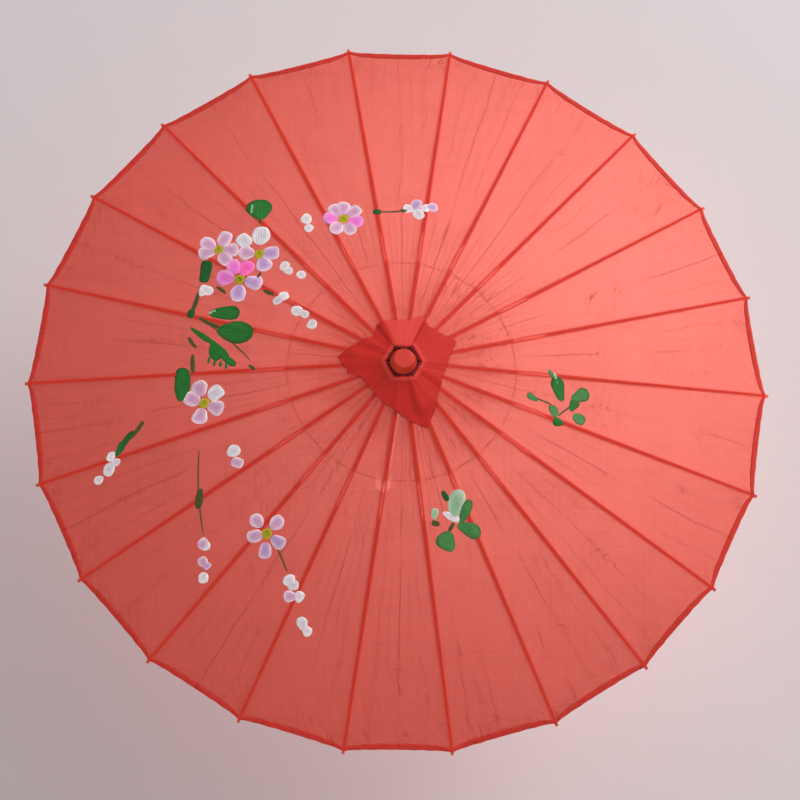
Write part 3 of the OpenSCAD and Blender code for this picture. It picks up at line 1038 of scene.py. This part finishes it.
def thread_path(index):
    """The joint thread from the middle of one span, through a rib's joint, to the next."""
    middle = JOINT_R * math.cos(HALF)
    turn = azimuth(index)
    sag = 0.8 * MM
    joint = Vector((JOINT_R * math.cos(turn), JOINT_R * math.sin(turn), JOINT_Z))
    before, after = (Vector((middle * math.cos(a), middle * math.sin(a), JOINT_Z - sag))
                     for a in (turn - HALF, turn + HALF))
    path = []
    for start, end in ((before, joint), (joint, after)):
        span = [start.lerp(end, share) + Vector((0, 0, sag * (1 - share) * share))
                for share in np.linspace(0.0, 1.0, 9)]
        path += span[1:] if path else span
    return path


# ---------------------------------------------------------------- painted flowers and leaves

PAINTS = {  # name: (middle of the stroke, its edges)
    "white": ((0.80, 0.70, 0.75), (1.0, 0.96, 0.93)),
    "blush": ((0.68, 0.36, 0.55), (1.0, 0.82, 0.83)),
    "lilac": ((0.54, 0.33, 0.60), (0.98, 0.74, 0.84)),
    "pink": ((0.86, 0.19, 0.60), (0.92, 0.40, 0.70)),
    "hot_pink": ((1.0, 0.12, 0.46), (1.0, 0.24, 0.58)),
    "yellow": ((0.40, 0.36, 0.01), (0.66, 0.44, 0.02)),
    "olive": ((0.10, 0.14, 0.005), (0.24, 0.22, 0.01)),
    "green": ((0.016, 0.170, 0.022), (0.012, 0.110, 0.014)),
    "deep_green": ((0.010, 0.110, 0.016), (0.008, 0.075, 0.012)),
    "fresh_green": ((0.060, 0.240, 0.060), (0.045, 0.150, 0.035)),
    "pale_green": ((0.34, 0.55, 0.33), (0.62, 0.70, 0.55)),
    "stem": ((0.070, 0.085, 0.020), (0.090, 0.070, 0.020)),
}

# Flowers: place on the plan in millimetres, petal length and width, then each petal's bearing,
# distance from the middle and paint
FLOWERS = [
    ((-201, 146), 19, 16, [(144, 14, "blush"), (66, 15, "blush"), (-6, 13, "blush"),
                           (-56, 14, "blush"), (194, 13, "blush")]),
    ((-156, 139), 18, 17, [(135, 24, "white"), (2, 13, "lilac"), (-66, 14, "lilac"),
                           (172, 14, "blush")]),
    ((-177, 108), 20, 17, [(63, 15, "hot_pink"), (113, 17, "pink"), (168, 16, "pink"),
                           (268, 16, "lilac"), (-16, 16, "lilac")]),
    ((-213, -33), 18, 17, [(105, 17, "blush"), (38, 16, "white"), (-28, 14, "blush"),
                           (254, 15, "blush"), (160, 14, "blush")]),
    ((-64, 180), 17, 15, [(92, 14, "blush"), (40, 15, "blush"), (-12, 14, "pink"),
                          (-62, 14, "blush"), (240, 14, "blush"), (176, 14, "pink"),
                          (130, 14, "blush")]),
    ((-143, -177), 17, 14, [(130, 17, "blush"), (47, 15, "blush"), (-36, 15, "lilac"),
                            (265, 18, "lilac"), (190, 13, "blush")]),
]

# Single strokes: place of the middle on the plan, length, width, heading in degrees and paint.
# A stroke points the way of its heading, and is widest past its middle.
STROKES = [
    # round leaf and strip leaf of the big spray
    (-156, 194, 27, 27, 94, "green"), (-156, 180, 8, 3, 94, "stem"),
    (-165, 195, 14, 3, 84, "pale_green"), (-215, 120, 26, 13, 82, "deep_green"),
    (-155, 161, 22, 20, 88, "white"),
    (-213, 98, 16, 12, 160, "white"), (-218, 95, 9, 8, 40, "white"),
    # petals drifting off it
    (-128, 122, 12, 10, 60, "white"), (-124, 116, 10, 9, -10, "white"),
    (-110, 110, 11, 9, 150, "white"), (-135, 80, 11, 9, 210, "white"),
    (-129, 85, 12, 11, 20, "white"), (-114, 67, 13, 11, 170, "white"),
    (-106, 62, 10, 9, -30, "white"), (-98, 50, 11, 11, 250, "white"),
    (-156, 112, 9, 3, 60, "stem"), (-145, 90, 13, 4, -30, "stem"),
    (-197, 97, 13, 4, -40, "stem"),
    # stem and the big leaves below
    (-225, 84, 26, 5, 74, "stem"), (-229, 70, 11, 8, 80, "deep_green"),
    (-193, 69, 34, 17, -2, "green"), (-206, 71, 9, 5, 20, "pale_green"),
    (-181, 46, 40, 24, -8, "green"),
    (-208, 58, 28, 4, -28, "stem"), (-187, 34, 66, 1.6, -44, "stem"),
    (-162, 3, 9, 4, -45, "stem"), (-218, 45, 30, 6, -38, "green"),
    (-199, 28, 34, 9, -48, "green"), (-203, 23, 20, 11, -62, "green"),
    (-190, 16, 28, 8, -42, "green"), (-208, 16, 9, 3, -104, "green"),
    (-202, 12, 9, 3, -98, "green"), (-196, 10, 8, 3, -92, "green"),
    (-190, 7, 8, 3, -84, "green"),
    (-227, 37, 16, 4, -55, "stem"), (-226, 12, 22, 5, -88, "stem"),
    (-238, -11, 38, 18, 88, "green"),
    # petals left of the middle
    (-180, -88, 15, 13, 20, "white"), (-176, -101, 14, 12, -20, "blush"),
    (-105, 181, 12, 13, 10, "white"), (-102, 169, 10, 10, 50, "white"),
    # sprig above the middle
    (-12, 190, 30, 2, 5, "stem"), (-27, 188, 9, 7, 0, "deep_green"),
    (3, 192, 8, 5, 10, "stem"), (17, 199, 14, 12, 60, "lilac"), (19, 187, 15, 12, -60, "white"),
    (8, 194, 12, 11, 170, "white"), (34, 196, 13, 11, 10, "lilac"), (26, 194, 10, 10, 0, "white"),
    # drooping bud at the far left
    (-286, -59, 24, 5, 52, "stem"), (-296, -72, 28, 7, 55, "deep_green"),
    (-304, -80, 18, 8, 64, "green"), (-312, -88, 12, 9, 240, "white"),
    (-307, -94, 10, 8, 200, "white"), (-314, -102, 15, 12, 250, "white"),
    (-325, -113, 11, 9, 220, "white"),
    # long thin stem with its leaf and falling petals
    (-214, -130, 92, 1.8, -86, "stem"), (-216, -138, 22, 8, 84, "stem"),
    (-211, -186, 12, 13, 10, "blush"), (-208, -188, 10, 9, -80, "white"),
    (-211, -205, 11, 11, 120, "blush"), (-206, -210, 9, 7, 40, "lilac"),
    (-210, -222, 12, 11, -90, "white"),
    # stem and petals below the lowest flower
    (-126, -205, 26, 2, -66, "stem"), (-118, -227, 13, 13, 120, "white"),
    (-114, -232, 12, 11, 0, "white"), (-117, -243, 14, 12, 170, "blush"),
    (-108, -244, 11, 12, -40, "white"), (-104, -272, 15, 11, 110, "white"),
    (-99, -279, 12, 10, -60, "white"),
    # leaf cluster low on the right
    (47, -138, 12, 6, -58, "deep_green"), (60, -147, 32, 17, 78, "pale_green"),
    (69, -154, 28, 11, 68, "fresh_green"), (54, -159, 20, 8, -22, "white"),
    (36, -157, 12, 8, 80, "pale_green"), (37, -167, 9, 6, -10, "stem"),
    (49, -186, 22, 19, 130, "fresh_green"), (73, -173, 27, 15, -22, "fresh_green"),
    (54, -170, 10, 4, 60, "stem"),
    # leaf cluster right of the middle
    (163, 2, 12, 5, -60, "fresh_green"), (171, -14, 27, 14, 104, "green"),
    (168, -3, 14, 3, 108, "pale_green"), (195, -19, 22, 14, 28, "fresh_green"),
    (142, -26, 14, 7, 150, "fresh_green"), (165, -40, 15, 10, 110, "fresh_green"),
    (188, -31, 15, 10, 60, "green"), (193, -46, 15, 13, -30, "fresh_green"),
    (170, -52, 12, 9, 170, "green"), (153, -29, 22, 2, -18, "stem"),
    (178, -38, 20, 2, 40, "stem"),
]


# How each paint is laid: how blunt a stroke's ends are, and how much it widens along its way.
# Strokes not named here are petals.
STROKE_SHAPES = {"green": (0.9, 0.55), "deep_green": (0.42, 0.1), "fresh_green": (0.9, 0.5),
                 "pale_green": (0.8, 0.4), "stem": (0.5, 0.0), "yellow": (1.0, 0.0),
                 "olive": (1.0, 0.0)}
PETAL_SHAPE = (0.85, 0.35)
# Points along a stroke and across it
STATIONS = 15
LANES = 9
# How far a stroke's edge stands on the cloth, and how far its skirt reaches down from there
EDGE_LIFT = 0.06 * MM
SKIRT = 0.1 * MM


def stroke_outline(length, width, paint, rng):
    """Places along a stroke, closer together at its ends, and its half width at each."""
    blunt, widening = STROKE_SHAPES.get(paint, PETAL_SHAPE)
    turn = np.linspace(0.0, math.pi, STATIONS)
    share = (1.0 - np.cos(turn)) / 2
    half = width / 2 * np.sin(turn) ** blunt * (1.0 + widening * (share - 0.5))
    half[0] = half[-1] = width * 0.03
    wave = 0.07 * np.sin(share * 7.0 + rng.uniform(0.0, 6.3))
    uneven = 1.0 + wave + rng.uniform(-0.02, 0.02, STATIONS)
    return share, (share - 0.5) * length, half * uneven


def add_stroke(shape, layers, settings, cloth, rng, place, length, width, heading, paint):
    """Adds one brush stroke to a bmesh, laid on the cloth, with its colours and brush lanes."""
    shares, along, half = stroke_outline(length, width, paint, rng)
    middle, edge = PAINTS[paint]
    tone = rng.uniform(0.92, 1.06)
    turn = math.radians(heading)
    forward = np.array([math.cos(turn), math.sin(turn)])
    sideways = np.array([-forward[1], forward[0]])
    across = np.linspace(-1.0, 1.0, LANES)
    bend = rng.uniform(-0.06, 0.06) * length
    grid = []
    for share, step, reach in zip(shares, along, half):
        row = []
        for lane in across:
            offset = reach * lane + bend * (1 - (2 * share - 1) ** 2)
            spot = np.array(place) + forward * step + sideways * offset
            x, y = spot * MM
            rim = 1.0 - abs(lane) ** 3
            crown = math.sqrt(max(0.0, rim)) * min(1.0, 8 * share + 0.2, 8 * (1 - share) + 0.2)
            z = float(cloth_height(np.array(x), np.array(y), cloth))
            vert = shape.verts.new((x, y, z + EDGE_LIFT + settings.lift * crown))
            pale = min(1.0, abs(lane) ** 3 + max(0.0, share - 0.75) * 3.0)
            mixed = [m + (e - m) * pale for m, e in zip(middle, edge)]
            vert[layers["colour"]] = rgba(mixed, tone)
            row.append((vert, (lane * 0.5 + 0.5, share)))
        grid.append(row)
    for k in range(len(grid) - 1):
        for j in range(LANES - 1):
            ring = [grid[k][j], grid[k + 1][j], grid[k + 1][j + 1], grid[k][j + 1]]
            face = shape.faces.new([v for v, _ in ring])
            for loop, (_, uv) in zip(face.loops, ring):
                loop[layers["uv"]].uv = uv
    # a skirt down to the cloth closes the stroke's edge
    border = ([grid[k][0] for k in range(len(grid))] + grid[-1][1:]
              + [grid[k][-1] for k in range(len(grid) - 2, -1, -1)] + grid[0][-2:0:-1])
    feet = []
    for vert, _ in border:
        low = shape.verts.new(vert.co - Vector((0.0, 0.0, SKIRT)))
        low[layers["colour"]] = vert[layers["colour"]]
        feet.append(low)
    for k in range(len(border)):
        n = (k + 1) % len(border)
        shape.faces.new([border[k][0], feet[k], feet[n], border[n][0]])


def painted_strokes():
    """Every stroke of the painting: leaves and single petals, then the flowers' petals and eyes."""
    strokes = list(STROKES)
    for (x, y), length, width, petals in FLOWERS:
        for bearing, distance, paint in petals:
            turn = math.radians(bearing)
            spot = (x + distance * math.cos(turn), y + distance * math.sin(turn))
            strokes.append((*spot, length, width, bearing, paint))
        strokes.append((x, y, 12, 11, 35, "yellow"))
        strokes.append((x + 0.5, y + 0.5, 6, 5, 120, "olive"))
    return strokes


def nearest_rib(spot):
    """Number of the rib that a point lies nearest to."""
    return round(math.atan2(spot.y, spot.x) / PITCH) % RIB_COUNT + 1


def make_paint(settings, cloth, material):
    """The painting, one piece for each rib that it lies over, cut along the middles of panels."""
    rng = np.random.default_rng(settings.seed)
    shape = bmesh.new()
    layers = {"colour": shape.verts.layers.float_color.new("paint_colour"),
              "uv": shape.loops.layers.uv.new("brush")}
    for x, y, length, width, heading, paint in painted_strokes():
        add_stroke(shape, layers, settings, cloth, rng, (x, y), length, width, heading, paint)
    for k in range(RIB_COUNT // 2):
        seam = (k + 0.5) * PITCH
        bmesh.ops.bisect_plane(shape, geom=shape.verts[:] + shape.edges[:] + shape.faces[:],
                               plane_co=(0.0, 0.0, 0.0),
                               plane_no=(-math.sin(seam), math.cos(seam), 0.0), dist=1e-7)
    whole = bpy.data.meshes.new("paint_whole")
    shape.to_mesh(whole)
    shape.free()
    pieces = []
    for index in range(1, RIB_COUNT + 1):
        part = bmesh.new()
        part.from_mesh(whole)
        elsewhere = [face for face in part.faces if nearest_rib(face.calc_center_median()) != index]
        bmesh.ops.delete(part, geom=elsewhere, context="FACES")
        if part.faces:
            mesh = bpy.data.meshes.new(f"painted_strokes_{index:02d}")
            part.to_mesh(mesh)
            mesh.materials.append(material)
            shade_smooth(mesh)
            pieces.append((index, new_object(mesh.name, mesh)))
        part.free()
    bpy.data.meshes.remove(whole)
    return pieces


# ---------------------------------------------------------------- operators


class PARASOL_OT_canopy(Operator):
    """Make the stretched cloth, its hem and the hem's stitches"""

    bl_idname = "parasol.canopy"
    bl_label = "Canopy cloth and hem"

    def execute(self, context):
        cloth = context.scene.parasol_cloth
        silk = cloth_material("Coral silk", cloth.colour, cloth.glow, cloth.gap, 0.30, 0.20,
                              0.35 * MM)
        double = cloth_material("Doubled hem cloth", cloth.hem_colour, cloth.glow, cloth.glow,
                                0.30, 0.05, 0.2 * MM)
        cotton = thread_material("Hem thread", cloth.hem_colour)
        build_stitch_tree()
        for index in range(1, RIB_COUNT + 1):
            panel = make_panel(index, cloth, silk)
            hem = make_hem(index, cloth, double)
            stitches = grown_piece(f"hem_stitches_{index:02d}", stitch_line(index, cloth),
                                   "Hem stitches", thread=cotton)
            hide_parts("canopy")
            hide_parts("rim_hem")
            ride_rib(panel, index)
            ride_rib(hem, index)
            ride_rib(stitches, index)
        return {"FINISHED"}


def knob_outline():
    """Half the section of the knob: a short straight foot, a taper and a rounded flat top."""
    low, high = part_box("finial")
    radius, base, top = high.x, low.z, high.z
    taper, corner = 3.3 * MM, 1.2 * MM
    outline = [(0.0, base), (radius - 0.6 * MM, base), (radius, base + 0.5 * MM),
               (radius, base + 1.8 * MM)]
    for share in np.linspace(0.0, 1.0, 9):
        outline.append((radius - 0.3 * MM - taper * share,
                        base + 2.1 * MM + (top - base - 3.4 * MM) * share))
    rim = radius - 0.3 * MM - taper - corner
    for share in np.linspace(0.0, 1.0, 6)[1:]:
        turn = share * math.pi / 2
        outline.append((rim + corner * math.cos(turn), top - 1.3 * MM + corner * math.sin(turn)))
    return outline + [(rim * 0.6, top - 0.03 * MM), (0.0, top)]


class PARASOL_OT_cap(Operator):
    """Make the pinked cap cover and the turned knob it surrounds"""

    bl_idname = "parasol.cap"
    bl_label = "Cap cover and knob"

    def execute(self, context):
        cloth = context.scene.parasol_cloth
        wood = context.scene.parasol_wood
        thick = cloth_material("Cap cloth", cloth.cap_colour, cloth.cap_colour, cloth.glow,
                               0.10, 0.01, 0.25 * MM, sheen=0.03, lit_attribute=PAINTED_LIGHT)
        for index in range(1, RIB_COUNT + 1):
            piece = make_cap(index, cloth, thick)
            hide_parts("cap_cover")
            ride_rib(piece, index)
        knob = turned_piece("turned_knob", knob_outline(), 72,
                            lacquer_material("Red lacquer", wood.lacquer))
        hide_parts("finial")
        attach(knob, "root")
        return {"FINISHED"}


class PARASOL_OT_bamboo(Operator):
    """Make the split bamboo ribs and stretchers and the thread through their joints"""

    bl_idname = "parasol.bamboo"
    bl_label = "Ribs, stretchers and joint thread"

    def execute(self, context):
        wood = context.scene.parasol_wood
        bamboo = bamboo_material("Stained bamboo", wood.bamboo)
        waxed = thread_material("Waxed thread", wood.thread)
        build_thread_tree()
        for index in range(1, RIB_COUNT + 1):
            for kind in ("rib", "stretcher"):
                node = f"{kind}_{index:02d}"
                piece = eased_copy(node, f"bamboo_{node}", wood.ease, 3.0 * MM, bamboo)
                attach(piece, node)
            thread = grown_piece(f"joint_thread_{index:02d}", thread_path(index), "Thread",
                                 thread_radius=0.45 * MM, step=2.0 * MM, sides=8, thread=waxed)
            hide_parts("joint_thread")
            ride_rib(thread, index)
        return {"FINISHED"}


class PARASOL_OT_shaft(Operator):
    """Finish the shaft, grip, hub, runner, wires and catch"""

    bl_idname = "parasol.shaft"
    bl_label = "Shaft, grip, hub and runner"

    def execute(self, context):
        wood = context.scene.parasol_wood
        # painted shade: the hub and runner are nearly black, so the hole round the knob reads as
        # shadow
        shade_dark_wood = turned_material("Turned shade-dark wood", wood.hub, 260.0, 0.0)
        finishes = {
            "shaft": turned_material("Varnished shaft", wood.shaft, 420.0, 0.3, 0.05),
            "stop_pin": bamboo_material("Bamboo pin", wood.bamboo),
            "grip": turned_material("Turned dark grip", wood.grip, 240.0, 0.35),
            "head_hub": shade_dark_wood,
            "runner": shade_dark_wood,
            "head_wire": steel_material("Steel wire", (0.42, 0.41, 0.40), 0.3),
            "catch": steel_material("Spring steel", (0.50, 0.49, 0.47), 0.22),
        }
        finishes["runner_wire"] = finishes["catch_pin"] = finishes["head_wire"]
        for node, material in finishes.items():
            mesh = frame["nodes"][node].data
            mesh.materials.clear()
            mesh.materials.append(material)
        return {"FINISHED"}


class PARASOL_OT_painting(Operator):
    """Paint the blossom sprays and leaves on the cloth"""

    bl_idname = "parasol.painting"
    bl_label = "Painted flowers"

    def execute(self, context):
        scene = context.scene
        paint = paint_material("Brushed paint")
        for index, piece in make_paint(scene.parasol_paint, scene.parasol_cloth, paint):
            ride_rib(piece, index)
        return {"FINISHED"}


# Half the floor's side, and how far right of and below the rim's middle the camera looks
FLOOR_REACH = 12.0
AIM_RIGHT = 1.6 * MM
AIM_DOWN = 10.4 * MM


def area_light(name, place, target, size, power, colour, spread=180.0):
    """Adds an area light; spread is the angle of its cone in degrees."""
    data = bpy.data.lights.new(name, "AREA")
    data.spread = math.radians(spread)
    data.shape = "RECTANGLE"
    data.size, data.size_y = size
    data.energy = power
    data.color = colour
    light = bpy.data.objects.new(name, data)
    light.location = place
    light.rotation_euler = (Vector(target) - Vector(place)).to_track_quat("-Z", "Y").to_euler()
    light.visible_camera = False
    bpy.context.scene.collection.objects.link(light)


def camera_axes(azimuth_angle, elevation, roll):
    """Right, up and backward directions of a camera that looks at the parasol."""
    back = Vector((math.sin(azimuth_angle) * math.cos(elevation),
                   -math.cos(azimuth_angle) * math.cos(elevation), math.sin(elevation)))
    level = Vector((math.cos(azimuth_angle), math.sin(azimuth_angle), 0.0))
    upright = back.cross(level)
    right = level * math.cos(roll) + upright * math.sin(roll)
    return right, back.cross(right), back


class PARASOL_OT_stage(Operator):
    """Set the pale floor, the soft lights and the camera"""

    bl_idname = "parasol.stage"
    bl_label = "Floor, lights and camera"

    def execute(self, context):
        scene = context.scene
        stage = scene.parasol_stage
        scene.view_settings.view_transform = "Standard"
        corners = [(x * FLOOR_REACH, y * FLOOR_REACH, FLOOR_Z)
                   for x, y in ((-1, -1), (1, -1), (1, 1), (-1, 1))]
        floor = mesh_piece("stage_floor", corners, [(0, 1, 2, 3)],
                           floor_material("Pale floor", stage.floor))
        world = bpy.data.worlds.new("Room")
        world.use_nodes = True
        background = world.node_tree.nodes["Background"]
        background.inputs["Color"].default_value = (1.0, 0.985, 0.99, 1.0)
        background.inputs["Strength"].default_value = stage.sky
        scene.world = world
        middle = (0.0, 0.0, TIP_Z)
        area_light("key_light", (2.2, 1.9, 2.4), middle, (1.6, 1.6), stage.key,
                   (1.0, 0.97, 0.95))
        area_light("fill_light", (-2.2, -1.6, 2.2), middle, (2.2, 2.2), stage.key * 0.12,
                   (0.97, 0.97, 1.0))
        warm = (1.0, 0.97, 0.96)
        low = FLOOR_Z + 0.03
        area_light("under_light", (0.0, 0.0, low), middle, (0.8, 0.8), stage.under * 0.14, warm,
                   130.0)
        area_light("under_light_right", (0.21, 0.13, low), (0.21, 0.13, TIP_Z), (0.46, 0.46),
                   stage.under * 1.05, warm, 110.0)
        # a light that faces down softens the canopy's shadow on the floor
        area_light("shade_light", (0.10, 0.10, FLOOR_Z + 0.30), (0.10, 0.10, FLOOR_Z), (0.6, 0.6),
                   stage.under * 0.14, warm, 120.0)
        # the camera looks a little to one side of the rim's middle
        data = bpy.data.cameras.new("camera")
        data.lens = stage.lens
        camera = bpy.data.objects.new("camera", data)
        right, up, back = camera_axes(stage.camera_azimuth, stage.camera_elevation,
                                      stage.camera_roll)
        aim = Vector(middle) + right * AIM_RIGHT - up * AIM_DOWN
        camera.matrix_world = Matrix.Translation(aim + back * stage.camera_distance) @ Matrix(
            (right, up, back)).transposed().to_4x4()
        scene.collection.objects.link(camera)
        scene.camera = camera
        return {"FINISHED"}


class PARASOL_PT_panel(Panel):
    """Lists the parasol's operators in the sidebar"""

    bl_label = "Parasol"
    bl_idname = "PARASOL_PT_panel"
    bl_space_type = "VIEW_3D"
    bl_region_type = "UI"
    bl_category = "Parasol"

    def draw(self, context):
        for operator in OPERATORS:
            self.layout.operator(operator.bl_idname)


# Each settings group by its name on the scene, and the operators in the order that they run
SETTINGS = {"parasol_cloth": ParasolCloth, "parasol_wood": ParasolWood,
            "parasol_paint": ParasolPaint, "parasol_stage": ParasolStage}
OPERATORS = (PARASOL_OT_stage, PARASOL_OT_canopy, PARASOL_OT_cap, PARASOL_OT_bamboo,
             PARASOL_OT_shaft, PARASOL_OT_painting)


def register():
    """Registers the settings, the operators and the panel."""
    for kind in (*SETTINGS.values(), *OPERATORS, PARASOL_PT_panel):
        bpy.utils.register_class(kind)
    for name, kind in SETTINGS.items():
        setattr(bpy.types.Scene, name, PointerProperty(type=kind))


def unregister():
    """Removes them again, in the opposite order."""
    for name in SETTINGS:
        delattr(bpy.types.Scene, name)
    for kind in (PARASOL_PT_panel, *reversed(OPERATORS), *reversed(SETTINGS.values())):
        bpy.utils.unregister_class(kind)


def main():
    """Builds the parasol and its stage."""
    register()
    for build in (build_weave_group, build_crease_group, build_grain_group, build_turned_group):
        build()
    for operator in OPERATORS:
        group, name = operator.bl_idname.split(".")
        getattr(getattr(bpy.ops, group), name)()


if __name__ == "__main__":
    main()
